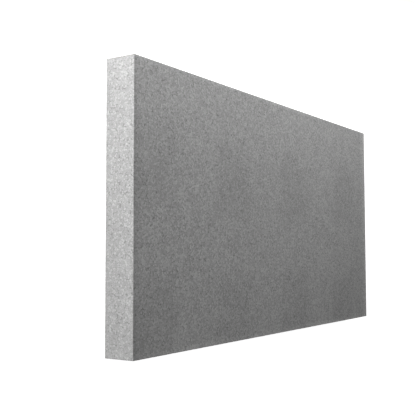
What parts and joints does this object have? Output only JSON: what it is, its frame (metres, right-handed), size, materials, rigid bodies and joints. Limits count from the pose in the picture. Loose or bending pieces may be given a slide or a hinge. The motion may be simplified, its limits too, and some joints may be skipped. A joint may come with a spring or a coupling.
{
  "type": "eps insulation board",
  "caption": "Rectangular board of grey expanded polystyrene foam with square-cut edges, for insulating walls and facades.",
  "frame": {"origin": "centre of the back face, the large face that the board lies on", "axes": "+X along the length, +Y along the width, +Z through the thickness from the back face to the front face"},
  "size_m": [1, 0.5, 0.06],
  "materials": {
    "graphite_foam": "fused foam beads, cut by hot wire, matt with a faint glaze"
  },
  "bodies": {
    "root": {"insulation_board": "graphite_foam"}
  },
  "joints": []
}
